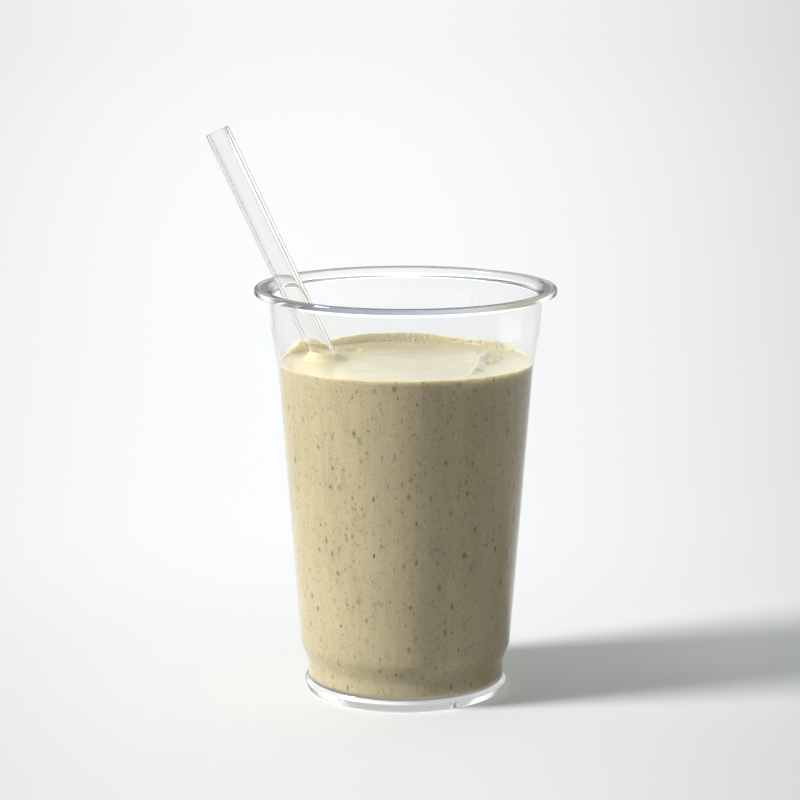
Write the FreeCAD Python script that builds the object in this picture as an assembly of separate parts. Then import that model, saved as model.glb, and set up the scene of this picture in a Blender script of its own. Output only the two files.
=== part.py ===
import FreeCAD, Part
import math
import os

# A green smoothie in a clear plastic cup, with a glass straw leaning on the rim.
# Millimetres, +Z up. The floor the cup stands on is z = 0, and the origin is the
# middle of the whole thing's box on that floor, because the straw reaches out on
# one side only. Everything is first built about the cup's own axis, then moved.

Vec = FreeCAD.Vector
UP = Vec(0, 0, 1)

# --- cup: outside radii and the heights where they are measured -------------------
CUP_HEIGHT = 133.9
RIM_RADIUS = 49.0          # outer edge of the curled rim
RIM_DROP = 2.1             # how far that edge hangs below the rim's top
CURL_RADIUS = 47.1         # the groove under the curl, where the rim is thinnest
CURL_ROOF = 0.7            # from the rim's top down to that groove
FLARE_FOOT = 3.5           # from the rim's top down to where the wall starts to flare
LIP_RADIUS = 45.4          # inner edge of the rim's top
LIP_DROP = 0.45            # how far the top slopes down to that edge
LIP_START = 1.6            # from the rim's top down to the corner of the inside wall
LIP_FILLET = 2.6           # which is well rounded
COLLAR_RADIUS = 44.3       # the nearly upright band just under the rim
COLLAR_FOOT_RADIUS = 43.7
COLLAR_HEIGHT = 13.9       # from the band's foot up to the rim's top
BODY_TOP_RADIUS = 41.4     # top of the long tapering wall
STEP_HEIGHT = 13.2         # the stacking step between that wall and the band
SHOULDER_RADIUS = 34.5     # bottom of the tapering wall
SHOULDER_HEIGHT = 15.4
NECK_RADIUS = 32.2         # the short straight neck above the foot
NECK_TOP = 9.6
WALL = 1.1
FLOOR = 1.2

# --- foot ring --------------------------------------------------------------------
FOOT_RADIUS = 33.5         # the widest bead of the ring
FOOT_BEAD_HEIGHT = 2.9
FOOT_BOTTOM_RADIUS = 32.4
FOOT_NECK_HEIGHT = 3.9
FOOT_HOLLOW = 3.1          # depth of the hollow under the floor
FOOT_RING_WIDTH = 1.5
NOTCH_COUNT = 3            # arched vents through the ring
NOTCH_WIDTH = 2.6
NOTCH_TALL = 2.4
NOTCH_FIRST_ANGLE = -60.3

# --- straw ------------------------------------------------------------------------
STRAW_RADIUS = 4.05
STRAW_WALL = 1.15
STRAW_LENGTH = 195.0
STRAW_END_FILLET = 0.5
STRAW_FOOT_RADIUS = 21.9   # how far the straw's foot stands from the cup's axis
STRAW_FOOT_ANGLE = 12.0
STRAW_RIM_ANGLE = 164.6    # where the straw leans on the rim
STRAW_RIM_CLEARANCE = 0.05
STRAW_FLOOR_CLEARANCE = 0.2

# --- drink ------------------------------------------------------------------------
LEVEL = 109.3              # where the drink meets the wall
MENISCUS = 1.0             # how much lower it lies away from the wall
MENISCUS_WIDTH = 3.0
MOUND = 2.6                # the drink drawn up round the straw
MOUND_LEAN = 0.25          # how much higher it stands under the straw's lean
MOUND_WIDTH = 2.0
MOUND_TUCK = 0.4           # and how much narrower
BORE_RISE = 0.9            # the level inside the straw
RIDGE = [                  # crest of the curl left by a burst bubble, as (x, y, rise)
    (31.5, 11.5, 0.6),
    (28.6, 15.4, 1.1),
    (25.6, 14.0, 1.4),
    (23.9, 8.0, 1.5),
    (23.2, 0.5, 1.4),
    (22.7, -8.0, 1.3),
    (21.2, -15.5, 1.6),
    (17.0, -19.5, 1.1),
]
RIDGE_STEEP = 1.2          # the crest's spread outside the curl
RIDGE_GENTLE = 2.6         # and inside it
HOLLOW_X, HOLLOW_Y = 27.8, 3.0     # the dent inside the curl
HOLLOW_DEPTH = 0.6
HOLLOW_WIDTH = 4.5
DIMPLE_X, DIMPLE_Y = -16.4, 27.0
DIMPLE_DEPTH = 1.2
DIMPLE_WIDTH = 1.9
SURFACE_CELLS = 72         # cells along each side of the drink's surface patch


def rounded_wire(corners):
    """A closed wire through (radius, height, fillet) corners, each rounded by an arc."""
    count = len(corners)
    cuts = []
    for i, (r, z, fillet) in enumerate(corners):
        here = Vec(r, 0, z)
        before = Vec(corners[i - 1][0], 0, corners[i - 1][1]) - here
        after = Vec(corners[(i + 1) % count][0], 0, corners[(i + 1) % count][1]) - here
        before.normalize()
        after.normalize()
        if not fillet:
            cuts.append((here, here, here))
            continue
        half = before.getAngle(after) / 2
        middle = before + after
        middle.normalize()
        reach = fillet / math.tan(half)
        bulge = fillet / math.sin(half) - fillet
        cuts.append((here + before * reach, here + middle * bulge, here + after * reach))
    edges = []
    for i, (start, middle, end) in enumerate(cuts):
        if not start.isEqual(end, 1e-6):
            edges.append(Part.Arc(start, middle, end).toShape())
        edges.append(Part.makeLine(end, cuts[(i + 1) % count][0]))
    return Part.Wire(edges)


def turned(corners):
    """The solid that the rounded outline sweeps round the Z axis."""
    return Part.Face(rounded_wire(corners)).revolve(Vec(0, 0, 0), UP, 360)


def inside_corners():
    """The cup's inside wall from the floor up, as (radius, height, fillet)."""
    floor_top = FOOT_HOLLOW + FLOOR
    return [
        (NECK_RADIUS - WALL, floor_top, 1.2),
        (NECK_RADIUS - WALL, NECK_TOP + 0.3, 4.0),
        (SHOULDER_RADIUS - WALL, SHOULDER_HEIGHT + 0.3, 4.0),
        (BODY_TOP_RADIUS - WALL, step_foot() + 0.1, 8.0),
        (COLLAR_FOOT_RADIUS - WALL, CUP_HEIGHT - COLLAR_HEIGHT + 0.1, 8.0),
    ]


def step_foot():
    return CUP_HEIGHT - COLLAR_HEIGHT - STEP_HEIGHT


def lip_corners():
    """The rim's inner edge, then the corner where its lip meets the inside wall."""
    return [
        (LIP_RADIUS, CUP_HEIGHT - LIP_DROP, 0.5),
        (COLLAR_RADIUS - WALL, CUP_HEIGHT - LIP_START, LIP_FILLET),
    ]


def lip_circle():
    """Centre, as radius and height, of the arc that rounds the lip's corner."""
    edge, corner, foot = [Vec(r, 0, z) for r, z, _ in lip_corners() + inside_corners()[-1:]]
    out = edge - corner
    out.normalize()
    down = foot - corner
    down.normalize()
    middle = down + out
    middle.normalize()
    centre = corner + middle * (LIP_FILLET / math.sin(down.getAngle(out) / 2))
    return centre.x, centre.z


def make_cup():
    outside = [
        (FOOT_BOTTOM_RADIUS - FOOT_RING_WIDTH, 0, 0.4),
        (FOOT_BOTTOM_RADIUS, 0, 0.7),
        (FOOT_RADIUS, FOOT_BEAD_HEIGHT, 0.4),
        (NECK_RADIUS, FOOT_NECK_HEIGHT, 0.4),
        (NECK_RADIUS, NECK_TOP, 4.0),
        (SHOULDER_RADIUS, SHOULDER_HEIGHT, 4.0),
        (BODY_TOP_RADIUS, step_foot(), 8.0),
        (COLLAR_FOOT_RADIUS, CUP_HEIGHT - COLLAR_HEIGHT, 8.0),
        (COLLAR_RADIUS, CUP_HEIGHT - FLARE_FOOT, 1.0),
        (CURL_RADIUS, CUP_HEIGHT - CURL_ROOF, 0.3),
        (RIM_RADIUS, CUP_HEIGHT - RIM_DROP, 0.15),
        (RIM_RADIUS, CUP_HEIGHT, 0.65),
    ]
    inside = inside_corners()[::-1]
    underside = [
        (0, FOOT_HOLLOW + FLOOR, 0),
        (0, FOOT_HOLLOW, 0),
        (FOOT_BOTTOM_RADIUS - FOOT_RING_WIDTH, FOOT_HOLLOW, 0.5),
    ]
    cup = turned(outside + lip_corners() + inside + underside)
    for i in range(NOTCH_COUNT):
        cup = cup.cut(make_notch(NOTCH_FIRST_ANGLE + i * 360 / NOTCH_COUNT))
    return cup


def make_notch(angle):
    """An arched tunnel through the foot ring, pointing away from the axis."""
    half = NOTCH_WIDTH / 2
    start = FOOT_BOTTOM_RADIUS - FOOT_RING_WIDTH - 2
    length = FOOT_RADIUS + 2 - start
    box = Part.makeBox(length, NOTCH_WIDTH, NOTCH_TALL - half + 1, Vec(start, -half, -1))
    arch = Part.makeCylinder(half, length, Vec(start, 0, NOTCH_TALL - half), Vec(1, 0, 0))
    notch = box.fuse(arch)
    notch.rotate(Vec(0, 0, 0), UP, angle)
    return notch


def polar(radius, angle, height):
    """The point at that distance and angle, in degrees, from the cup's axis."""
    turn = math.radians(angle)
    return Vec(radius * math.cos(turn), radius * math.sin(turn), height)


def straw_axis(reach):
    """Foot and direction of a straw whose axis is `reach` from the cup's axis at the rim."""
    rest = FOOT_HOLLOW + FLOOR + STRAW_FLOOR_CLEARANCE
    foot = polar(STRAW_FOOT_RADIUS, STRAW_FOOT_ANGLE, rest)
    for _ in range(8):
        lean = polar(reach, STRAW_RIM_ANGLE, CUP_HEIGHT) - foot
        lean.normalize()
        drop = (STRAW_RADIUS - STRAW_END_FILLET) * math.sqrt(1 - lean.z ** 2)
        foot.z = rest + drop + STRAW_END_FILLET * (1 - lean.z)
    return foot, lean


def from_axis(point, foot, lean):
    """How far a point is from the straw's axis."""
    return (point - foot).cross(lean).Length


def lean_straw():
    """Push the straw outwards until it touches the rounded inner lip of the rim."""
    circle, height = lip_circle()
    touch = STRAW_RADIUS + LIP_FILLET + STRAW_RIM_CLEARANCE
    low, high = 0.0, circle
    for _ in range(40):
        reach = (low + high) / 2
        foot, lean = straw_axis(reach)
        angles = [STRAW_RIM_ANGLE + step / 4 for step in range(-100, 101)]
        near = min(from_axis(polar(circle, angle, height), foot, lean) for angle in angles)
        if near > touch:
            low = reach
        else:
            high = reach
    return straw_axis(low)


def make_straw(foot, lean):
    inner = STRAW_RADIUS - STRAW_WALL
    tube = turned([
        (inner, 0, STRAW_END_FILLET),
        (STRAW_RADIUS, 0, STRAW_END_FILLET),
        (STRAW_RADIUS, STRAW_LENGTH, STRAW_END_FILLET),
        (inner, STRAW_LENGTH, STRAW_END_FILLET),
    ])
    tube.Placement = FreeCAD.Placement(foot, FreeCAD.Rotation(UP, lean))
    return tube


def bump(distance, width):
    """A smooth hump: 1 at no distance, falling to nothing over about two widths."""
    return math.exp(-(distance / width) ** 2)


def wall_radius_at_level():
    """Inside radius of the cup where the drink meets it."""
    low, high = inside_corners()[-2:]
    share = (LEVEL - low[1]) / (high[1] - low[1])
    if share < 0:
        low, high = inside_corners()[-3:-1]
        share = (LEVEL - low[1]) / (high[1] - low[1])
    return low[0] + share * (high[0] - low[0])


def ridge_height(x, y):
    """Rise of the curl at a place: steep on its outer side, gentle on its inner side."""
    here = Vec(x, y, 0)
    best = 0.0
    for start, end in zip(RIDGE, RIDGE[1:]):
        foot, run = Vec(*start[:2], 0), Vec(end[0] - start[0], end[1] - start[1], 0)
        share = min(max((here - foot).dot(run) / run.dot(run), 0.0), 1.0)
        rise = start[2] + share * (end[2] - start[2])
        width = RIDGE_GENTLE if run.cross(here - foot).z > 0 else RIDGE_STEEP
        best = max(best, rise * bump((here - foot - run * share).Length, width))
    return best


def surface_height(x, y, foot, lean):
    """Height of the drink's surface, with its meniscus, mound, ridge and dents."""
    from_wall = max(wall_radius_at_level() - math.hypot(x, y), 0.0)
    height = LEVEL - MENISCUS * (1 - bump(from_wall, MENISCUS_WIDTH))
    middle = foot + lean * ((LEVEL - foot.z) / lean.z)
    away = Vec(x, y, LEVEL) - middle
    from_straw = from_axis(Vec(x, y, LEVEL), foot, lean)
    if from_straw > STRAW_RADIUS:
        facing = (away.x * lean.x + away.y * lean.y) / (away.Length * math.hypot(lean.x, lean.y))
        width = MOUND_WIDTH * (1 - MOUND_TUCK * facing)
        height += MOUND * (1 + MOUND_LEAN * facing) * bump(from_straw - STRAW_RADIUS, width)
    else:
        height += BORE_RISE + (MOUND - BORE_RISE) * (from_straw / STRAW_RADIUS) ** 4
    height += ridge_height(x, y)
    height -= HOLLOW_DEPTH * bump(math.hypot(x - HOLLOW_X, y - HOLLOW_Y), HOLLOW_WIDTH)
    height -= DIMPLE_DEPTH * bump(math.hypot(x - DIMPLE_X, y - DIMPLE_Y), DIMPLE_WIDTH)
    return height


def make_drink(foot, lean, straw):
    """The cup's filling, cut off at its surface and cut round the straw."""
    corners = inside_corners()
    top = (COLLAR_FOOT_RADIUS - WALL, CUP_HEIGHT, 0)
    filling = turned(corners + [top, (0, CUP_HEIGHT, 0), (0, corners[0][1], 0)])
    half = COLLAR_RADIUS + 1
    lines = [-half + 2 * half * i / SURFACE_CELLS for i in range(SURFACE_CELLS + 1)]
    patch = Part.BSplineSurface()
    patch.interpolate([[Vec(x, y, surface_height(x, y, foot, lean)) for y in lines] for x in lines])
    above = patch.toShape().extrude(Vec(0, 0, CUP_HEIGHT - LEVEL + 20))
    return filling.cut(above).cut(straw)


def main():
    os.makedirs("parts", exist_ok=True)
    foot, lean = lean_straw()
    cup = make_cup()
    straw = make_straw(foot, lean)
    smoothie = make_drink(foot, lean, straw)
    tip = foot + lean * STRAW_LENGTH
    side = STRAW_RADIUS * math.sqrt(1 - lean.x ** 2)
    low = min(-RIM_RADIUS, tip.x - side)
    high = max(RIM_RADIUS, tip.x + side)
    shift = -(low + high) / 2
    for name, shape in (("cup", cup), ("smoothie", smoothie), ("straw", straw)):
        shape.translate(Vec(shift, 0, 0))
        shape.exportStep("parts/" + name + ".step")
        print(name, round(shape.Volume / 1000, 1), "cm3")
    print("cup axis at x", round(shift, 3))


main()
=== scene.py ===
import math
import random

import bmesh
import bpy
import numpy as np
from mathutils import Matrix, Vector, noise
from mathutils.bvhtree import BVHTree


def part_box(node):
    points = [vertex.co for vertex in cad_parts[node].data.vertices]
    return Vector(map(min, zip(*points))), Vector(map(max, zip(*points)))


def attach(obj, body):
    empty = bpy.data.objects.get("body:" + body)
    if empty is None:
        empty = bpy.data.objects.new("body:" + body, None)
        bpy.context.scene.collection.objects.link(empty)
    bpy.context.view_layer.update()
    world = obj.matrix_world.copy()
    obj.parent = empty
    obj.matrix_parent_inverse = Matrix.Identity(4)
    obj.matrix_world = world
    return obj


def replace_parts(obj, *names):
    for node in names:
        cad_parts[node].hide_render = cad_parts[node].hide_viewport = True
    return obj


# A green smoothie in a clear cup with a glass straw. Metres, +Z up, standing on z = 0.

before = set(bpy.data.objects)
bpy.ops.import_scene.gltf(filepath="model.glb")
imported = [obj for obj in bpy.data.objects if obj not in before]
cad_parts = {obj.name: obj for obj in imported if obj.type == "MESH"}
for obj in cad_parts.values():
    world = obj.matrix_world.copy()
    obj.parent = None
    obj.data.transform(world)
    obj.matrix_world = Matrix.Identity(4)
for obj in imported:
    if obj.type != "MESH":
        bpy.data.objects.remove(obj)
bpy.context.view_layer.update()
MM = 0.001

# --- the drink's surface, as in the solid model, about the cup's axis -------------
LEVEL = 109.3 * MM             # where the drink meets the wall
MENISCUS = 1.0 * MM
MENISCUS_WIDTH = 3.0 * MM
MOUND = 2.6 * MM               # drawn up round the straw
MOUND_LEAN = 0.25              # how much higher it stands under the straw's lean
MOUND_WIDTH = 2.0 * MM         # its spread
MOUND_TUCK = 0.4               # and how much narrower that is under the lean
BORE_RISE = 0.9 * MM
RIDGE = [                      # crest of the curl left by a burst bubble: x, y, rise
    (31.5 * MM, 11.5 * MM, 0.6 * MM),
    (28.6 * MM, 15.4 * MM, 1.1 * MM),
    (25.6 * MM, 14.0 * MM, 1.4 * MM),
    (23.9 * MM, 8.0 * MM, 1.5 * MM),
    (23.2 * MM, 0.5 * MM, 1.4 * MM),
    (22.7 * MM, -8.0 * MM, 1.3 * MM),
    (22.2 * MM, -12.5 * MM, 1.1 * MM),
    (21.2 * MM, -17.5 * MM, 0.35 * MM),
]
RIDGE_STEEP = 0.8 * MM         # the crest's spread outside the curl
RIDGE_GENTLE = 2.6 * MM        # and inside it
HOLLOW_AT = (27.8 * MM, 3.0 * MM)      # the dent inside the curl
HOLLOW_DEPTH = 0.6 * MM
HOLLOW_WIDTH = 4.5 * MM
LUMPS = [                      # small lumps inside the curl: x, y, rise
    (26.6 * MM, -0.5 * MM, 0.9 * MM),
    (29.2 * MM, 6.8 * MM, 0.8 * MM),
]
LUMP_WIDTH = 1.1 * MM
DIMPLE_AT = (-16.4 * MM, 27.0 * MM)
DIMPLE_DEPTH = 1.2 * MM
DIMPLE_WIDTH = 1.9 * MM
SWELL = 0.2 * MM               # the surface's slow unevenness
SWELL_SIZE = 7.0 * MM
FILM_THICK = 0.32 * MM         # the film of drink that still clings to the wall
FILM_START = -20               # first angle of its list, in degrees about the axis
FILM = [                       # angle, and how far it reaches above the level in mm
    (FILM_START, 0.6), (5, 0.9), (24, 0.9), (35, 1.8), (44, 2.3), (61, 1.8), (72, 2.1),
    (80, 2.9), (93, 3.3), (105, 3.1), (122, 2.4), (128, 1.9), (140, 3.1), (149, 2.9),
    (157, 2.0), (166, 0.6), (200, 0.45), (270, 0.7), (340, 0.6),
]
FILM_WAVE = 0.09               # unevenness of its edge, as a share of its rise
FILM_WAVES = 14                # and how fine it is
WALL_BITE = 0.25 * MM          # how far the drink reaches into the clear wall

# --- the cup's outline, as in the solid model --------------------------------------
RIM_RADIUS = 49.0 * MM
RIM_DROP = 2.1 * MM            # how far the rim's outer edge hangs down
CURL_RADIUS = 47.1 * MM        # the groove under the curled rim
CURL_ROOF = 0.7 * MM
FLARE_FOOT = 3.5 * MM          # from the rim's top down to where the wall flares
LIP_RADIUS = 45.4 * MM
LIP_DROP = 0.45 * MM
LIP_START = 1.6 * MM
LIP_FILLET = 2.6 * MM
COLLAR_RADIUS = 44.3 * MM
COLLAR_FOOT_RADIUS = 43.7 * MM
COLLAR_HEIGHT = 13.9 * MM
BODY_TOP_RADIUS = 41.4 * MM
STEP_HEIGHT = 13.2 * MM
SHOULDER_RADIUS = 34.5 * MM
SHOULDER_HEIGHT = 15.4 * MM
NECK_RADIUS = 32.2 * MM
NECK_TOP = 9.6 * MM
WALL = 1.1 * MM
FOOT_RADIUS = 33.5 * MM
FOOT_BEAD_HEIGHT = 2.9 * MM
FOOT_BOTTOM_RADIUS = 32.4 * MM
FOOT_NECK_HEIGHT = 3.9 * MM
FOOT_HOLLOW = 3.1 * MM
FOOT_RING_WIDTH = 1.5 * MM
NOTCH_COUNT = 3
NOTCH_WIDTH = 2.6 * MM
NOTCH_TALL = 2.4 * MM
NOTCH_FIRST_ANGLE = math.radians(-60.3)

# --- the straw --------------------------------------------------------------------
STRAW_RADIUS = 4.05 * MM
STRAW_WALL = 1.15 * MM
STRAW_LENGTH = 195.0 * MM
STRAW_END_FILLET = 0.5 * MM

# --- places read from the frame ---------------------------------------------------
cup_low, cup_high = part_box("cup")
AXIS = Vector(((cup_low.x + cup_high.x) / 2, (cup_low.y + cup_high.y) / 2, 0))
CUP_HEIGHT = cup_high.z
FLOOR_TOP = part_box("smoothie")[0].z


def tree_of(obj):
    """A ray-casting tree of a CAD node's mesh."""
    mesh = obj.data
    return BVHTree.FromPolygons([v.co for v in mesh.vertices], [p.vertices for p in mesh.polygons])


cup_tree = tree_of(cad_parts["cup"])


def inside_radius(z):
    """The cup's inside radius at a height."""
    reach = 0.0
    for i in range(7):
        turn = 0.3 + i * 0.77
        hit = cup_tree.ray_cast(AXIS + Vector((0, 0, z)), Vector((math.cos(turn), math.sin(turn), 0)))
        if hit[0] is not None:
            reach = max(reach, hit[3])
    return reach


def straw_axis():
    """A point on the straw's axis and its direction, upwards."""
    co = np.array([v.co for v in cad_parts["straw"].data.vertices])
    middle = (co.max(0) + co.min(0)) / 2
    direction = np.linalg.svd(co - co.mean(0), full_matrices=False)[2][0]
    direction *= np.sign(direction[2])
    along = (co - middle) @ direction
    end = STRAW_END_FILLET + 0.1 * MM
    top = co[along > along.max() - end]
    bottom = co[along < along.min() + end]
    foot = (bottom.max(0) + bottom.min(0)) / 2
    tip = (top.max(0) + top.min(0)) / 2
    return Vector(foot), Vector(tip - foot).normalized()


inside_at_level = inside_radius(LEVEL)
STRAW_FOOT, STRAW_UP = straw_axis()


# --- helpers ----------------------------------------------------------------------
def piece(name, verts, faces, materials):
    """A mesh piece that rides with the root body and takes the materials it is given."""
    mesh = bpy.data.meshes.new(name)
    mesh.from_pydata([tuple(v) for v in verts], [], faces)
    mesh.update()
    mesh.polygons.foreach_set("use_smooth", [True] * len(mesh.polygons))
    obj = bpy.data.objects.new(name, mesh)
    bpy.context.scene.collection.objects.link(obj)
    for material in materials:
        mesh.materials.append(material)
    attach(obj, "root")
    return obj


def bump(distance, width):
    """A smooth hump: 1 at no distance, falling to nothing over about two widths."""
    return math.exp(-(distance / width) ** 2)


class Nodes:
    """Short calls for building a material's node tree."""

    def __init__(self, name):
        self.material = bpy.data.materials.new(name)
        self.material.use_nodes = True
        self.tree = self.material.node_tree
        self.tree.nodes.clear()
        self.output = self.add("ShaderNodeOutputMaterial")

    def add(self, kind, **values):
        node = self.tree.nodes.new(kind)
        for key, value in values.items():
            setattr(node, key, value)
        return node

    def link(self, source, target):
        self.tree.links.new(source, target)

    def noise(self, coords, scale, detail):
        node = self.add("ShaderNodeTexNoise")
        node.inputs["Scale"].default_value = scale
        node.inputs["Detail"].default_value = detail
        node.inputs["Roughness"].default_value = 0.55
        self.link(coords, node.inputs["Vector"])
        return node.outputs["Fac"]

    def math(self, kind, a, b):
        node = self.add("ShaderNodeMath", operation=kind)
        for value, socket in ((a, node.inputs[0]), (b, node.inputs[1])):
            if isinstance(value, (int, float)):
                socket.default_value = value
            else:
                self.link(value, socket)
        return node.outputs[0]

    def ease(self, source, low, high, start, end):
        """A soft step from `start` to `end` while the source goes from `low` to `high`."""
        node = self.add("ShaderNodeMapRange", interpolation_type="SMOOTHSTEP")
        self.link(source, node.inputs["Value"])
        node.inputs["From Min"].default_value = low
        node.inputs["From Max"].default_value = high
        node.inputs["To Min"].default_value = start
        node.inputs["To Max"].default_value = end
        return node.outputs[0]

    def spots(self, coords, scale, share, size):
        """Soft uneven spots, taller than wide; `share` of the cells hold one."""
        wobble = self.add("ShaderNodeTexNoise")
        wobble.inputs["Scale"].default_value = scale * 2.5
        self.link(coords, wobble.inputs["Vector"])
        shifted = self.add("ShaderNodeVectorMath", operation="MULTIPLY_ADD")
        self.link(wobble.outputs["Color"], shifted.inputs[0])
        shifted.inputs[1].default_value = (0.35 / scale,) * 3
        self.link(coords, shifted.inputs[2])
        squash = self.add("ShaderNodeMapping")
        squash.inputs["Scale"].default_value = (1, 1, 0.55)
        self.link(shifted.outputs[0], squash.inputs["Vector"])
        cells = self.add("ShaderNodeTexVoronoi")
        cells.inputs["Scale"].default_value = scale
        self.link(squash.outputs[0], cells.inputs["Vector"])
        parts = self.add("ShaderNodeSeparateColor")
        self.link(cells.outputs["Color"], parts.inputs[0])
        held = self.math("LESS_THAN", parts.outputs[0], share)
        reach = self.math("MULTIPLY", self.math("ADD", parts.outputs[1], 0.45), size)
        near = self.add("ShaderNodeMapRange", interpolation_type="SMOOTHSTEP")
        self.link(cells.outputs["Distance"], near.inputs["Value"])
        near.inputs["From Min"].default_value = 0.0
        self.link(reach, near.inputs["From Max"])
        near.inputs["To Min"].default_value = 1
        near.inputs["To Max"].default_value = 0
        strength = self.math("MULTIPLY", self.math("ADD", parts.outputs[2], 0.35), 0.8)
        return self.math("MULTIPLY", self.math("MULTIPLY", near.outputs[0], held), strength)

    def ramp(self, source, stops):
        node = self.add("ShaderNodeValToRGB")
        ramp = node.color_ramp
        while len(ramp.elements) < len(stops):
            ramp.elements.new(0.5)
        for element, (place, colour) in zip(ramp.elements, stops):
            element.position = place
            element.color = (*colour, 1)
        self.link(source, node.inputs["Fac"])
        return node.outputs["Color"]

    def mix(self, kind, factor, a, b):
        node = self.add("ShaderNodeMix", data_type="RGBA", blend_type=kind)
        if isinstance(factor, (int, float)):
            node.inputs["Factor"].default_value = factor
        else:
            self.link(factor, node.inputs["Factor"])
        for value, name in ((a, "A"), (b, "B")):
            socket = [s for s in node.inputs if s.name == name and s.type == "RGBA"][0]
            if isinstance(value, tuple):
                socket.default_value = (*value, 1)
            else:
                self.link(value, socket)
        return [s for s in node.outputs if s.type == "RGBA"][0]


# --- materials: colours -----------------------------------------------------------
DRINK_COLOUR = (0.50, 0.44, 0.29)
DRINK_DARK = (0.42, 0.365, 0.22)
# painted light: the top surface's pair of colours is set apart from the side's, so its colour carries
# part of the top's brightness
TOP_COLOUR = (0.53, 0.47, 0.285)
TOP_DARK = (0.41, 0.36, 0.205)
SPOT_COLOUR = (0.10, 0.085, 0.035)         # bits just behind the drink's side
SPOT_FAINT = (0.20, 0.165, 0.08)
FLECK_COLOURS = (0.045, 0.037, 0.016), (0.15, 0.125, 0.06)
TRAIL_COLOURS = (0.16, 0.135, 0.07), (0.30, 0.26, 0.145)
FOAM_COLOUR = (0.62, 0.56, 0.42)
# colour of the painted glow: emission that makes the clear foot shine, though it is no lamp
PAINTED_GLOW_COLOUR = (0.96, 0.98, 1.0)
LAMP_PASSAGE = (0.97, 0.975, 0.975)        # lamp light through one clear surface

# --- materials: finish ------------------------------------------------------------
DRINK_IOR = 1.36
CLEAR_IOR = 1.5
SCATTER_SHARE = 0.7
SCATTER_DEPTH = 4.0 * MM
SCATTER_BY_COLOUR = (1.0, 0.88, 0.6)
RIPPLE_DEPTH = 0.2 * MM
GLANCE_START, GLANCE_END = 0.55, 0.88      # where the painted shade on a clear edge starts and ends


def clear_material(name, haze, edge=1.0, painted_glow=0.0):
    """Clear plastic or glass: true refraction for sight, plain passage for lamp light.

    `haze` is a slight cloudiness, `edge` how far the glass is darkened where the surface is met at a
    glancing angle, a painted shade, and the last argument the share of painted glow: emission that
    makes the clear body shine though no lamp lights it.
    """
    n = Nodes(name)
    glass = n.add("ShaderNodeBsdfGlass")
    glass.inputs["Roughness"].default_value = 0.0
    glass.inputs["IOR"].default_value = CLEAR_IOR
    # painted shade: the glass is darkened where it is met at a glancing angle, giving dark edge lines
    if edge < 1:
        weight = n.add("ShaderNodeLayerWeight")
        weight.inputs["Blend"].default_value = 0.5
        glance_shade = n.ease(weight.outputs["Facing"], GLANCE_START, GLANCE_END, 1.0, edge)
        n.link(n.mix("MULTIPLY", 1.0, (1.0, 1.0, 1.0), glance_shade), glass.inputs["Color"])
    else:
        glass.inputs["Color"].default_value = (1, 1, 1, 1)
    clear = n.add("ShaderNodeBsdfTransparent")
    clear.inputs["Color"].default_value = (*LAMP_PASSAGE, 1)
    path = n.add("ShaderNodeLightPath")
    blend = n.add("ShaderNodeMixShader")
    veil = n.add("ShaderNodeMixShader")
    veil.inputs["Fac"].default_value = haze
    n.link(glass.outputs[0], veil.inputs[1])
    n.link(n.add("ShaderNodeBsdfTranslucent").outputs[0], veil.inputs[2])
    n.link(path.outputs["Is Shadow Ray"], blend.inputs["Fac"])
    seen = veil
    # painted glow: an emission mixed into the clear surface, light that no lamp gives
    if painted_glow:
        seen = n.add("ShaderNodeMixShader")
        seen.inputs["Fac"].default_value = painted_glow
        lit = n.add("ShaderNodeEmission")
        lit.inputs["Color"].default_value = (*PAINTED_GLOW_COLOUR, 1)
        n.link(veil.outputs[0], seen.inputs[1])
        n.link(lit.outputs[0], seen.inputs[2])
    n.link(seen.outputs[0], blend.inputs[1])
    n.link(clear.outputs[0], blend.inputs[2])
    n.link(blend.outputs[0], n.output.inputs["Surface"])
    return n.material


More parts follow.
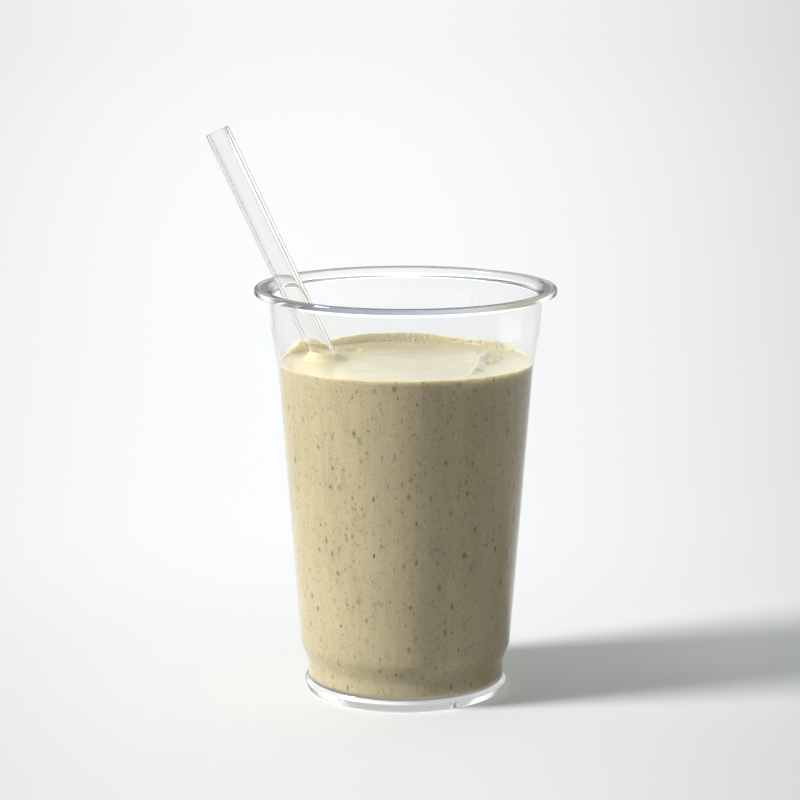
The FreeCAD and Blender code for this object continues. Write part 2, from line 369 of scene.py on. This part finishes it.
def drink_material(name, wet):
    """The blended drink: fine mottling and hanging streaks, wet only where air meets it."""
    n = Nodes(name)
    coords = n.add("ShaderNodeTexCoord").outputs["Object"]
    fine = n.noise(coords, 1500, 2)
    broad = n.noise(coords, 60, 3)
    # the top gets its own colours, partly painted light
    light, dark = (TOP_COLOUR, TOP_DARK) if wet else (DRINK_COLOUR, DRINK_DARK)
    grain = n.ramp(fine, [(0.3, (0, 0, 0)), (0.8, (1, 1, 1))])
    colour = n.mix("MIX", grain, light, dark)
    cloud = n.ramp(broad, [(0.3, (0.93, 0.93, 0.93)), (0.7, (1, 1, 1))])
    colour = n.mix("MULTIPLY", 0.5, colour, cloud)
    if not wet:
        stretch = n.add("ShaderNodeMapping")
        stretch.inputs["Scale"].default_value = (1, 1, 0.12)
        n.link(coords, stretch.inputs["Vector"])
        hang = n.noise(stretch.outputs[0], 420, 3)
        streak = n.ramp(hang, [(0.35, (0.84, 0.84, 0.82)), (0.6, (1, 1, 1))])
        colour = n.mix("MULTIPLY", 0.5, colour, streak)
        colour = n.mix("MIX", n.spots(coords, 450, 0.5, 0.34), colour, SPOT_COLOUR)
        colour = n.mix("MIX", n.spots(coords, 1150, 0.5, 0.42), colour, SPOT_FAINT)
    shader = n.add("ShaderNodeBsdfPrincipled")
    n.link(colour, shader.inputs["Base Color"])
    shader.inputs["Roughness"].default_value = 0.2 if wet else 0.6
    shader.inputs["IOR"].default_value = DRINK_IOR
    shader.inputs["Specular IOR Level"].default_value = 0.35 if wet else 0.3
    shader.inputs["Subsurface Weight"].default_value = SCATTER_SHARE
    shader.inputs["Subsurface Radius"].default_value = SCATTER_BY_COLOUR
    shader.inputs["Subsurface Scale"].default_value = SCATTER_DEPTH
    if wet:
        bumps = n.add("ShaderNodeBump")
        bumps.inputs["Strength"].default_value = 0.25
        bumps.inputs["Distance"].default_value = RIPPLE_DEPTH
        n.link(n.noise(coords, 700, 3), bumps.inputs["Height"])
        n.link(bumps.outputs[0], shader.inputs["Normal"])
    n.link(shader.outputs[0], n.output.inputs["Surface"])
    return n.material


def fleck_material(name, dark, light):
    """Dull bits of leaf and skin, uneven between two colours."""
    n = Nodes(name)
    coords = n.add("ShaderNodeTexCoord").outputs["Object"]
    tone = n.noise(coords, 350, 2)
    colour = n.ramp(tone, [(0.3, dark), (0.7, light)])
    shader = n.add("ShaderNodeBsdfPrincipled")
    n.link(colour, shader.inputs["Base Color"])
    shader.inputs["Roughness"].default_value = 0.6
    shader.inputs["Specular IOR Level"].default_value = 0.2
    n.link(shader.outputs[0], n.output.inputs["Surface"])
    return n.material


def foam_material():
    """Glossy pale bubbles."""
    n = Nodes("foam_bubble")
    shader = n.add("ShaderNodeBsdfPrincipled")
    shader.inputs["Base Color"].default_value = (*FOAM_COLOUR, 1)
    shader.inputs["Roughness"].default_value = 0.12
    shader.inputs["IOR"].default_value = DRINK_IOR
    n.link(shader.outputs[0], n.output.inputs["Surface"])
    return n.material


# the rim, the foot and the straw have painted shade at glancing edges
CLEAR_PLASTIC = clear_material("clear_plastic", 0.05)
CLEAR_RIM = clear_material("clear_plastic_rim", 0.03, 0.36)
# the foot's finish carries a painted glow
CLEAR_FOOT = clear_material("clear_plastic_foot", 0.02, 0.4, 0.2)
STRAW_GLASS = clear_material("straw_glass", 0.03, 0.5)
DRINK_WET = drink_material("drink_surface", True)
DRINK_SIDE = drink_material("drink_side", False)
FLECK = fleck_material("dark_fleck", *FLECK_COLOURS)
TRAIL = fleck_material("fleck_trail", *TRAIL_COLOURS)
FOAM = foam_material()


# --- the drink --------------------------------------------------------------------
DRINK_TURNS = 420              # points round each of its rings
SURFACE_RINGS = 112
SIDE_STEP = 1.2 * MM           # between the rings of its side
FLOOR_RINGS = (0.0, 0.5, 0.9)
FOOT_STEPS = (0.02, 0.1, 0.25, 0.45, 0.7, 1.0, 1.4, 2.0)       # mm above the floor
FILM_ROWS = (0.0, 0.35, 0.7, 0.92)         # shares of the film's rise
FILM_STEPS = (0.0, 0.12, 0.27, 0.36, 0.45, 0.54, 0.64, 0.76, 0.9, 1.1, 1.35)     # mm inwards
FLECK_COUNT = 900
TRAIL_COUNT = 150
BUBBLE_COUNT = 420
SPECK_COUNT = 46


def ridge_height(x, y):
    """Rise of the curl at a place: steep on its outer side, gentle on its inner side."""
    best = 0.0
    for (ax, ay, low), (bx, by, high) in zip(RIDGE, RIDGE[1:]):
        rx, ry = bx - ax, by - ay
        share = min(max(((x - ax) * rx + (y - ay) * ry) / (rx * rx + ry * ry), 0.0), 1.0)
        aside = math.hypot(x - ax - share * rx, y - ay - share * ry)
        # 1 on the inner side, -1 on the outer, and in between round the crest's ends
        side = (rx * (y - ay) - ry * (x - ax)) / max(math.hypot(rx, ry) * aside, 1e-12)
        width = RIDGE_STEEP + (RIDGE_GENTLE - RIDGE_STEEP) * (0.5 + 0.5 * side)
        best = max(best, (low + share * (high - low)) * bump(aside, width))
    return best


def surface_height(x, y):
    """Height of the drink's surface at a place given from the cup's axis."""
    edge = inside_at_level - math.hypot(x, y)
    height = LEVEL - MENISCUS * (1 - bump(max(edge, 0.0), MENISCUS_WIDTH))
    point = AXIS + Vector((x, y, LEVEL))
    from_straw = (point - STRAW_FOOT).cross(STRAW_UP).length
    if from_straw > STRAW_RADIUS:
        away = point - STRAW_FOOT - STRAW_UP * ((LEVEL - STRAW_FOOT.z) / STRAW_UP.z)
        facing = away.xy.normalized().dot(STRAW_UP.xy.normalized())
        width = MOUND_WIDTH * (1 - MOUND_TUCK * facing)
        height += MOUND * (1 + MOUND_LEAN * facing) * bump(from_straw - STRAW_RADIUS, width)
    else:
        height += BORE_RISE + (MOUND - BORE_RISE) * (from_straw / STRAW_RADIUS) ** 4
    height += ridge_height(x, y)
    for lump_x, lump_y, rise in LUMPS:
        height += rise * bump(math.hypot(x - lump_x, y - lump_y), LUMP_WIDTH)
    height -= HOLLOW_DEPTH * bump(math.hypot(x - HOLLOW_AT[0], y - HOLLOW_AT[1]), HOLLOW_WIDTH)
    height -= DIMPLE_DEPTH * bump(math.hypot(x - DIMPLE_AT[0], y - DIMPLE_AT[1]), DIMPLE_WIDTH)
    height += film_rise(math.atan2(y, x)) * bump(max(edge, 0.0), FILM_THICK)
    calm = 1 - bump(max(edge, 0.0), MENISCUS_WIDTH)
    height += SWELL * calm * noise.noise(Vector((x, y, 0)) / SWELL_SIZE)
    return height


def film_rise(turn):
    """Rise above the level of the film of drink on the wall, at an angle about the axis."""
    angle = (math.degrees(turn) - FILM_START) % 360 + FILM_START
    for (start, low), (end, high) in zip(FILM, FILM[1:]):
        if start <= angle <= end:
            share = (angle - start) / (end - start)
            share = share * share * (3 - 2 * share)
            rise = low + share * (high - low)
            place = Vector((math.cos(turn), math.sin(turn), 0)) * FILM_WAVES
            return (rise + FILM_WAVE * min(rise, 1.5) * noise.noise(place)) * MM
    return 0.0


def make_drink():
    """The filling as one closed mesh: floor, side and surface."""
    around = DRINK_TURNS
    turns = [2 * math.pi * i / around for i in range(around)]
    rows = []
    floor = FLOOR_TOP - WALL_BITE
    for share in FLOOR_RINGS:
        rows.append([(share * inside_radius(FLOOR_TOP + 2 * MM), floor)] * around)
    heights = np.concatenate([
        FLOOR_TOP + np.array(FOOT_STEPS) * MM,
        np.arange(FLOOR_TOP + 2.8 * MM, LEVEL - 0.5 * MM, SIDE_STEP),
    ])
    for z in heights:
        rows.append([(inside_radius(z) + WALL_BITE, z)] * around)
    edge = inside_at_level + WALL_BITE
    for share in FILM_ROWS:
        rows.append([(edge, LEVEL - 0.15 * MM + share * film_rise(t)) for t in turns])
    side_rows = len(rows)
    radii = [edge - step * MM for step in FILM_STEPS]
    radii += [radii[-1] * (1 - i / SURFACE_RINGS) for i in range(1, SURFACE_RINGS)]
    for r in radii:
        rows.append([(r, surface_height(r * math.cos(t), r * math.sin(t))) for t in turns])
    verts = []
    for row in rows:
        for (r, z), t in zip(row, turns):
            verts.append((AXIS.x + r * math.cos(t), AXIS.y + r * math.sin(t), z))
    faces = []
    for j in range(1, len(rows) - 1):
        for i in range(around):
            k = (i + 1) % around
            low, high = j * around, (j + 1) * around
            faces.append((low + i, low + k, high + k, high + i))
    # the floor's and the surface's middles close on one point each
    used = verts[around:]
    faces = [tuple(v - around for v in f) for f in faces]
    bottom = len(used)
    used.append((AXIS.x, AXIS.y, floor))
    used.append((AXIS.x, AXIS.y, surface_height(0, 0)))
    last = len(used) - 2 - around
    for i in range(around):
        k = (i + 1) % around
        faces.append((bottom, k, i))
        faces.append((bottom + 1, last + i, last + k))
    drink = piece("drink", used, faces, [DRINK_SIDE, DRINK_WET])
    # the surface is wet, from the film's edge inwards
    wet_from = (side_rows - 1) * around
    for polygon in drink.data.polygons:
        if min(polygon.vertices) >= wet_from - around and polygon.center.z > LEVEL - 3 * MM:
            polygon.material_index = 1
    return drink


def make_flecks():
    """Dark bits of leaf and skin pressed against the wall, many drawn out downwards."""
    draw = random.Random(11)
    verts, faces = [], []
    floor, top = FLOOR_TOP + 4 * MM, LEVEL - 0.6 * MM
    for _ in range(FLECK_COUNT):
        z = floor + (top - floor) * draw.random() ** 0.75
        turn = draw.uniform(0, 2 * math.pi)
        size = 0.11 * MM + 0.3 * MM * draw.random() ** 3
        tall = size * draw.choice([1.0, 1.2, 1.5, 2.2, 3.2])
        add_fleck(verts, faces, turn, z, size, tall, draw)
    return piece("flecks", verts, faces, [FLECK])


def make_trails():
    """Thin upright threads that the larger bits leave behind them on the wall."""
    draw = random.Random(23)
    verts, faces = [], []
    floor, top = FLOOR_TOP + 12 * MM, LEVEL - 3 * MM
    for _ in range(TRAIL_COUNT):
        z = floor + (top - floor) * draw.random() ** 0.7
        turn = draw.uniform(0, 2 * math.pi)
        wide = draw.uniform(0.05, 0.11) * MM
        add_fleck(verts, faces, turn, z, wide, draw.uniform(1.2, 3.4) * MM, draw, 0.0)
        if draw.random() < 0.6:
            add_fleck(verts, faces, turn, z + draw.uniform(-1, 1) * MM, 2.2 * wide, 3 * wide, draw)
    return piece("trails", verts, faces, [TRAIL])


def add_fleck(verts, faces, turn, z, wide, tall, draw, slant=0.25):
    """One flat, uneven, rounded bit lying on the drink's side."""
    radius = inside_radius(z) + WALL_BITE
    start = len(verts)
    rim = 8
    lean = draw.uniform(-slant, slant)
    for i in range(rim):
        a = 2 * math.pi * i / rim
        grow = draw.uniform(0.75, 1.2)
        across = wide * grow * math.cos(a) + lean * tall * math.sin(a)
        up = tall * grow * math.sin(a)
        t = turn + across / radius
        r = radius - 0.04 * MM
        verts.append((AXIS.x + r * math.cos(t), AXIS.y + r * math.sin(t), z + up))
    r = radius + 0.06 * MM
    verts.append((AXIS.x + r * math.cos(turn), AXIS.y + r * math.sin(turn), z))
    for i in range(rim):
        faces.append((start + i, start + (i + 1) % rim, start + rim))


def make_foam():
    """Small bubbles caught along the wall, in loose runs."""
    draw = random.Random(5)
    verts, faces = [], []
    for _ in range(BUBBLE_COUNT):
        spots = [draw.gauss(92, 16), draw.gauss(92, 16), draw.gauss(42, 14), draw.uniform(0, 360)]
        turn = math.radians(draw.choice(spots))
        size = draw.uniform(0.12, 0.34) * MM
        rise = film_rise(turn)
        z = LEVEL + draw.uniform(-0.5 * MM, max(0.2 * MM, rise - 0.3 * MM))
        # how thick the film still is at this height
        depth = math.log(max(rise, 0.3 * MM) / max(z - LEVEL, 0.12 * MM))
        edge = FILM_THICK * math.sqrt(max(0.05, depth))
        r = inside_at_level - edge - 0.3 * size
        if z < LEVEL:
            r -= draw.uniform(0, 1.6) * MM
            z = surface_height(r * math.cos(turn), r * math.sin(turn))
        add_ball(verts, faces, AXIS + Vector((r * math.cos(turn), r * math.sin(turn), z)), size)
    return piece("foam", verts, faces, [FOAM])


def add_ball(verts, faces, middle, size):
    """A small sphere."""
    start = len(verts)
    around, rows = 12, 7
    verts.append(middle + Vector((0, 0, size)))
    for j in range(1, rows):
        tip = math.pi * j / rows
        for i in range(around):
            turn = 2 * math.pi * i / around
            verts.append(middle + size * Vector((
                math.sin(tip) * math.cos(turn), math.sin(tip) * math.sin(turn), math.cos(tip))))
    verts.append(middle - Vector((0, 0, size)))
    last = len(verts) - 1
    for i in range(around):
        k = (i + 1) % around
        faces.append((start, start + 1 + i, start + 1 + k))
        for j in range(rows - 2):
            a = start + 1 + j * around
            faces.append((a + i, a + around + i, a + around + k, a + k))
        a = start + 1 + (rows - 2) * around
        faces.append((a + i, last, a + k))


def make_specks():
    """A few dark bits lying on the drink's surface, most of them near the straw."""
    draw = random.Random(3)
    verts, faces = [], []
    for _ in range(SPECK_COUNT):
        if draw.random() < 0.45:
            x, y = draw.gauss(-23.5, 3.2) * MM, draw.gauss(7.0, 3.5) * MM
        else:
            x, y = draw.uniform(-33, 33) * MM, draw.uniform(-33, 33) * MM
        if math.hypot(x, y) > inside_at_level - 2 * MM:
            continue
        size = draw.uniform(0.12, 0.3) * MM
        start = len(verts)
        rim = 7
        for i in range(rim):
            a = 2 * math.pi * i / rim
            px = x + size * draw.uniform(0.7, 1.3) * math.cos(a)
            py = y + size * 1.4 * draw.uniform(0.7, 1.3) * math.sin(a)
            verts.append(AXIS + Vector((px, py, surface_height(px, py) - 0.02 * MM)))
        verts.append(AXIS + Vector((x, y, surface_height(x, y) + 0.05 * MM)))
        for i in range(rim):
            faces.append((start + i, start + (i + 1) % rim, start + rim))
    return piece("specks", verts, faces, [FLECK])


drink = make_drink()
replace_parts(drink, "smoothie")
make_flecks()
make_trails()
make_foam()
make_specks()


# --- clear pieces -----------------------------------------------------------------
CUP_TURNS = 288                # points round each ring
STRAW_TURNS = 128
LONG_STEP = 6 * MM             # longest straight run of the cup's outline
STRAW_STEP = 8 * MM            # and of the straw's
SHARP_ANGLE = math.radians(40)


def rounded(corners, step=math.radians(10)):
    """Points of a closed outline of (radius, height, fillet) corners, with arcs at the corners."""
    points = []
    count = len(corners)
    for i, (r, z, fillet) in enumerate(corners):
        here = Vector((r, z))
        before = (Vector(corners[i - 1][:2]) - here).normalized()
        after = (Vector(corners[(i + 1) % count][:2]) - here).normalized()
        if not fillet:
            points.append(here)
            continue
        half = before.angle(after) / 2
        centre = here + (before + after).normalized() * fillet / math.sin(half)
        start = here + before * fillet / math.tan(half) - centre
        end = here + after * fillet / math.tan(half) - centre
        sweep = start.angle_signed(end)
        parts = max(2, math.ceil(abs(sweep) / step))
        for k in range(parts + 1):
            arm = start.copy()
            arm.rotate(Matrix.Rotation(-sweep * k / parts, 2))
            points.append(centre + arm)
    return points


def split_long(points, most):
    """The same outline with long straight runs cut into shorter ones."""
    out = []
    for i, point in enumerate(points):
        out.append(point)
        ahead = points[(i + 1) % len(points)]
        parts = math.ceil((ahead - point).length / most)
        for k in range(1, parts):
            out.append(point.lerp(ahead, k / parts))
    return out


def lathe(outline, around):
    """Vertices and faces of an outline turned about Z; points on the axis are shared."""
    verts, faces, rows = [], [], []
    for r, z in outline:
        if r < 1e-9:
            rows.append([len(verts)] * around)
            verts.append((0, 0, z))
            continue
        rows.append([len(verts) + i for i in range(around)])
        for i in range(around):
            a = 2 * math.pi * i / around
            verts.append((r * math.cos(a), r * math.sin(a), z))
    for j, row in enumerate(rows):
        following = rows[(j + 1) % len(rows)]
        for i in range(around):
            k = (i + 1) % around
            corner = []
            for v in (row[i], row[k], following[k], following[i]):
                if v not in corner:
                    corner.append(v)
            if len(corner) > 2:
                faces.append(corner)
    return verts, faces


def cup_outline():
    """The cup's section as (radius, height, fillet) corners, up the outside first."""
    step_top = CUP_HEIGHT - COLLAR_HEIGHT
    step_foot = step_top - STEP_HEIGHT
    return [
        (FOOT_BOTTOM_RADIUS - FOOT_RING_WIDTH, 0, 0.4 * MM),
        (FOOT_BOTTOM_RADIUS, 0, 0.7 * MM),
        (FOOT_RADIUS, FOOT_BEAD_HEIGHT, 0.4 * MM),
        (NECK_RADIUS, FOOT_NECK_HEIGHT, 0.4 * MM),
        (NECK_RADIUS, NECK_TOP, 4 * MM),
        (SHOULDER_RADIUS, SHOULDER_HEIGHT, 4 * MM),
        (BODY_TOP_RADIUS, step_foot, 8 * MM),
        (COLLAR_FOOT_RADIUS, step_top, 8 * MM),
        (COLLAR_RADIUS, CUP_HEIGHT - FLARE_FOOT, 1.0 * MM),
        (CURL_RADIUS, CUP_HEIGHT - CURL_ROOF, 0.3 * MM),
        (RIM_RADIUS, CUP_HEIGHT - RIM_DROP, 0.15 * MM),
        (RIM_RADIUS, CUP_HEIGHT, 0.65 * MM),
        (LIP_RADIUS, CUP_HEIGHT - LIP_DROP, 0.5 * MM),
        (COLLAR_RADIUS - WALL, CUP_HEIGHT - LIP_START, LIP_FILLET),
        (COLLAR_FOOT_RADIUS - WALL, step_top + 0.1 * MM, 8 * MM),
        (BODY_TOP_RADIUS - WALL, step_foot + 0.1 * MM, 8 * MM),
        (SHOULDER_RADIUS - WALL, SHOULDER_HEIGHT + 0.3 * MM, 4 * MM),
        (NECK_RADIUS - WALL, NECK_TOP + 0.3 * MM, 4 * MM),
        (NECK_RADIUS - WALL, FLOOR_TOP, 1.2 * MM),
        (0, FLOOR_TOP, 0),
        (0, FOOT_HOLLOW, 0),
        (FOOT_BOTTOM_RADIUS - FOOT_RING_WIDTH, FOOT_HOLLOW, 0.5 * MM),
    ]


def notch_cutter():
    """The three arched vents of the foot ring as one closed mesh."""
    verts, faces = [], []
    half = NOTCH_WIDTH / 2
    spring = NOTCH_TALL - half
    outline = [(-half, -1 * MM), (half, -1 * MM)]
    outline += [(half * math.cos(a), spring + half * math.sin(a)) for a in np.linspace(0, math.pi, 17)]
    near = FOOT_BOTTOM_RADIUS - FOOT_RING_WIDTH - 2 * MM
    far = FOOT_RADIUS + 2 * MM
    for n in range(NOTCH_COUNT):
        turn = NOTCH_FIRST_ANGLE + 2 * math.pi * n / NOTCH_COUNT
        start = len(verts)
        for reach in (near, far):
            for across, up in outline:
                x = reach * math.cos(turn) - across * math.sin(turn)
                y = reach * math.sin(turn) + across * math.cos(turn)
                verts.append((x, y, up))
        count = len(outline)
        for i in range(count):
            k = (i + 1) % count
            faces.append((start + i, start + k, start + count + k, start + count + i))
        faces.append([start + i for i in reversed(range(count))])
        faces.append([start + count + i for i in range(count)])
    return verts, faces


def make_cup():
    """The cup as one closed mesh, with the vents cut through its foot ring."""
    outline = split_long(rounded(cup_outline()), LONG_STEP)
    verts, faces = lathe(outline, CUP_TURNS)
    verts = [(x + AXIS.x, y + AXIS.y, z) for x, y, z in verts]
    cup = piece("clear_cup", verts, faces, [CLEAR_PLASTIC, CLEAR_RIM, CLEAR_FOOT])
    tidy_normals(cup)
    verts, faces = notch_cutter()
    mesh = bpy.data.meshes.new("notches")
    mesh.from_pydata([(x + AXIS.x, y + AXIS.y, z) for x, y, z in verts], [], faces)
    cutter = bpy.data.objects.new("notches", mesh)
    bpy.context.scene.collection.objects.link(cutter)
    tidy_normals(cutter)
    cut = cup.modifiers.new("notches", "BOOLEAN")
    cut.object = cutter
    cut.operation = "DIFFERENCE"
    cut.solver = "EXACT"
    settle(cup)
    bpy.data.objects.remove(cutter)
    cup.data.set_sharp_from_angle(angle=SHARP_ANGLE)
    # the rim and the foot have finishes of their own
    for polygon in cup.data.polygons:
        if polygon.center.z > CUP_HEIGHT - FLARE_FOOT:
            polygon.material_index = 1
        elif polygon.center.z < FLOOR_TOP - 0.3 * MM:
            polygon.material_index = 2
    return cup


def tidy_normals(obj):
    """Faces all turned outwards, and doubled points joined."""
    work = bmesh.new()
    work.from_mesh(obj.data)
    bmesh.ops.remove_doubles(work, verts=work.verts, dist=1e-7)
    bmesh.ops.recalc_face_normals(work, faces=work.faces)
    work.to_mesh(obj.data)
    work.free()
    obj.data.update()


def settle(obj):
    """Apply an object's modifiers to its mesh."""
    graph = bpy.context.evaluated_depsgraph_get()
    mesh = bpy.data.meshes.new_from_object(obj.evaluated_get(graph))
    obj.modifiers.clear()
    old = obj.data
    obj.data = mesh
    bpy.data.meshes.remove(old)


def make_straw():
    """The glass tube, along the axis found in the frame."""
    inner = STRAW_RADIUS - STRAW_WALL
    outline = rounded([
        (inner, 0, STRAW_END_FILLET),
        (STRAW_RADIUS, 0, STRAW_END_FILLET),
        (STRAW_RADIUS, STRAW_LENGTH, STRAW_END_FILLET),
        (inner, STRAW_LENGTH, STRAW_END_FILLET),
    ], math.radians(15))
    verts, faces = lathe(split_long(outline, STRAW_STEP), STRAW_TURNS)
    turn = STRAW_UP.to_track_quat("Z", "Y").to_matrix()
    verts = [STRAW_FOOT + turn @ Vector(v) for v in verts]
    straw = piece("glass_straw", verts, faces, [STRAW_GLASS])
    tidy_normals(straw)
    return straw


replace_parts(make_cup(), "cup")
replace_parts(make_straw(), "straw")

# --- stage, light and camera ------------------------------------------------------
FLOOR_SIZE = 20.0
FLOOR_COLOUR = (0.91, 0.92, 0.93)
KEY_ELEVATION = math.radians(33)
KEY_AZIMUTH = math.radians(196)
KEY_STRENGTH = 3.6
KEY_ANGLE = math.radians(15)
KEY_COLOUR = (1.0, 0.99, 0.97)
# The pool is painted light: the floor's colour is darkened away from it, standing in for the lamp's
# falloff.
POOL_WIDTH = 0.30              # half width of the floor's bright pool at the object,
POOL_SPREAD = 0.27             # how fast that widens towards the back,
POOL_NARROWEST = 0.15
POOL_SHIFT = 0.1               # how far it is off to one side, in half widths,
POOL_FADE = 0.62               # how much it dims at one half width,
POOL_DARKEST = 0.75            # and the dimmest that it gets


def make_floor():
    """A wide pale floor with painted light: its colour is darkened away from a pool in the middle, and
    a little towards the front and the far back.
    """
    corners = ((-1, -1), (1, -1), (1, 1), (-1, 1))
    verts = [(sx * FLOOR_SIZE, sy * FLOOR_SIZE, 0) for sx, sy in corners]
    mesh = bpy.data.meshes.new("studio_floor")
    mesh.from_pydata(verts, [], [(0, 1, 2, 3)])
    floor = bpy.data.objects.new("studio_floor", mesh)
    bpy.context.scene.collection.objects.link(floor)
    n = Nodes("studio_white_painted_pool")
    split = n.add("ShaderNodeSeparateXYZ")
    n.link(n.add("ShaderNodeTexCoord").outputs["Object"], split.inputs[0])
    x, y = split.outputs["X"], split.outputs["Y"]
    # painted light: the colour dims away from the pool, and towards the front and the far back
    spread = n.math("ADD", n.math("MULTIPLY", y, POOL_SPREAD), POOL_WIDTH)
    spread = n.math("MAXIMUM", spread, POOL_NARROWEST)
    aside = n.math("ADD", n.math("DIVIDE", x, spread), POOL_SHIFT)
    aside = n.math("MULTIPLY", aside, n.ease(y, -0.8, -0.3, 0.0, 1.0))
    painted_dimming = n.math("POWER", n.math("ABSOLUTE", aside, 0), 2)
    pool = n.math("SUBTRACT", 1.0, n.math("MULTIPLY", painted_dimming, POOL_FADE))
    near = n.ease(y, -0.15, 0.25, 0.89, 1.0)
    far = n.ease(y, 0.8, 4.0, 1.0, 0.95)
    pool = n.math("MAXIMUM", pool, POOL_DARKEST)
    level = n.math("MULTIPLY", pool, n.math("MULTIPLY", near, far))
    shader = n.add("ShaderNodeBsdfPrincipled")
    n.link(n.mix("MULTIPLY", 1.0, FLOOR_COLOUR, level), shader.inputs["Base Color"])
    shader.inputs["Roughness"].default_value = 0.9
    shader.inputs["Specular IOR Level"].default_value = 0.1
    n.link(shader.outputs[0], n.output.inputs["Surface"])
    mesh.materials.append(n.material)


STUDIO_LEFT = 0.15             # the dim room, on either hand
STUDIO_RIGHT = 0.45
STUDIO_SIDE = 1.4              # the bright wall, behind and to the left
STUDIO_TOP = 0.29              # the soft light overhead
SIDE_AZIMUTH = math.radians(115)
SIDE_EDGE = (0.42, 0.58)       # the bright wall's soft ends, as cosines from its middle
SIDE_UPPER = (0.28, 0.48)      # its soft upper edge, as sines of the elevation
TOP_EDGE = (0.6, 0.85)         # the overhead light's soft edge, likewise
ROOM_TURN = (-0.3, 0.5)        # where the room goes from its left to its right
WARM_DIM = (1.0, 0.92, 0.66)
COOL_BRIGHT = (0.95, 0.975, 1.0)
COOL_TOP = (0.68, 0.93, 1.52)


def make_world():
    """The studio round the object: a bright wall behind and to the left, a soft top light."""
    world = bpy.data.worlds.new("studio")
    world.use_nodes = True
    tree = world.node_tree
    tree.nodes.clear()
    coords = tree.nodes.new("ShaderNodeTexCoord")
    split = tree.nodes.new("ShaderNodeSeparateXYZ")
    tree.links.new(coords.outputs["Generated"], split.inputs[0])
    toward = tree.nodes.new("ShaderNodeVectorMath")
    toward.operation = "DOT_PRODUCT"
    toward.inputs[1].default_value = (math.cos(SIDE_AZIMUTH), math.sin(SIDE_AZIMUTH), 0)
    tree.links.new(coords.outputs["Generated"], toward.inputs[0])

    def rise(source, low, high, start=0.0, end=1.0):
        node = tree.nodes.new("ShaderNodeMapRange")
        node.interpolation_type = "SMOOTHSTEP"
        node.inputs["From Min"].default_value = low
        node.inputs["From Max"].default_value = high
        node.inputs["To Min"].default_value = start
        node.inputs["To Max"].default_value = end
        tree.links.new(source, node.inputs["Value"])
        return node.outputs[0]

    def glow(colour, strength):
        node = tree.nodes.new("ShaderNodeBackground")
        node.inputs["Color"].default_value = (*colour, 1)
        tree.links.new(strength, node.inputs["Strength"])
        return node.outputs[0]

    def add(a, b):
        node = tree.nodes.new("ShaderNodeAddShader")
        tree.links.new(a, node.inputs[0])
        tree.links.new(b, node.inputs[1])
        return node.outputs[0]

    low = rise(split.outputs["Z"], *SIDE_UPPER, STUDIO_SIDE, 0.0)
    side = tree.nodes.new("ShaderNodeMath")
    side.operation = "MULTIPLY"
    tree.links.new(rise(toward.outputs["Value"], *SIDE_EDGE), side.inputs[0])
    tree.links.new(low, side.inputs[1])
    above = rise(split.outputs["Z"], *TOP_EDGE, 0.0, STUDIO_TOP)
    room = rise(split.outputs["X"], *ROOM_TURN, STUDIO_LEFT, STUDIO_RIGHT)
    whole = add(glow(WARM_DIM, room), glow(COOL_BRIGHT, side.outputs[0]))
    whole = add(whole, glow(COOL_TOP, above))
    output = tree.nodes.new("ShaderNodeOutputWorld")
    tree.links.new(whole, output.inputs["Surface"])
    bpy.context.scene.world = world


def make_light():
    """One broad soft lamp from the left, a little in front."""
    away = Vector((
        math.cos(KEY_ELEVATION) * math.cos(KEY_AZIMUTH),
        math.cos(KEY_ELEVATION) * math.sin(KEY_AZIMUTH),
        math.sin(KEY_ELEVATION),
    ))
    lamp = bpy.data.lights.new("key", "SUN")
    lamp.energy = KEY_STRENGTH
    lamp.angle = KEY_ANGLE
    lamp.color = KEY_COLOUR
    key = bpy.data.objects.new("key", lamp)
    key.location = away * 2
    key.rotation_euler = (-away).to_track_quat("-Z", "Y").to_euler()
    bpy.context.scene.collection.objects.link(key)


CAMERA_LENS = 122.6            # on a 36 mm sensor
CAMERA_FROM_AXIS = Vector((-1.83, -873.7, 261.9)) * MM
CAMERA_DOWN = math.radians(10.737)


def make_camera():
    """The camera, in front and a little above."""
    data = bpy.data.cameras.new("camera")
    data.sensor_width = 36
    data.lens = CAMERA_LENS
    data.clip_end = 50
    camera = bpy.data.objects.new("camera", data)
    camera.location = AXIS + CAMERA_FROM_AXIS
    camera.rotation_euler = (math.radians(90) - CAMERA_DOWN, 0, 0)
    bpy.context.scene.collection.objects.link(camera)
    bpy.context.scene.camera = camera


make_floor()
make_world()
make_light()
make_camera()
bpy.context.scene.view_settings.view_transform = "Standard"
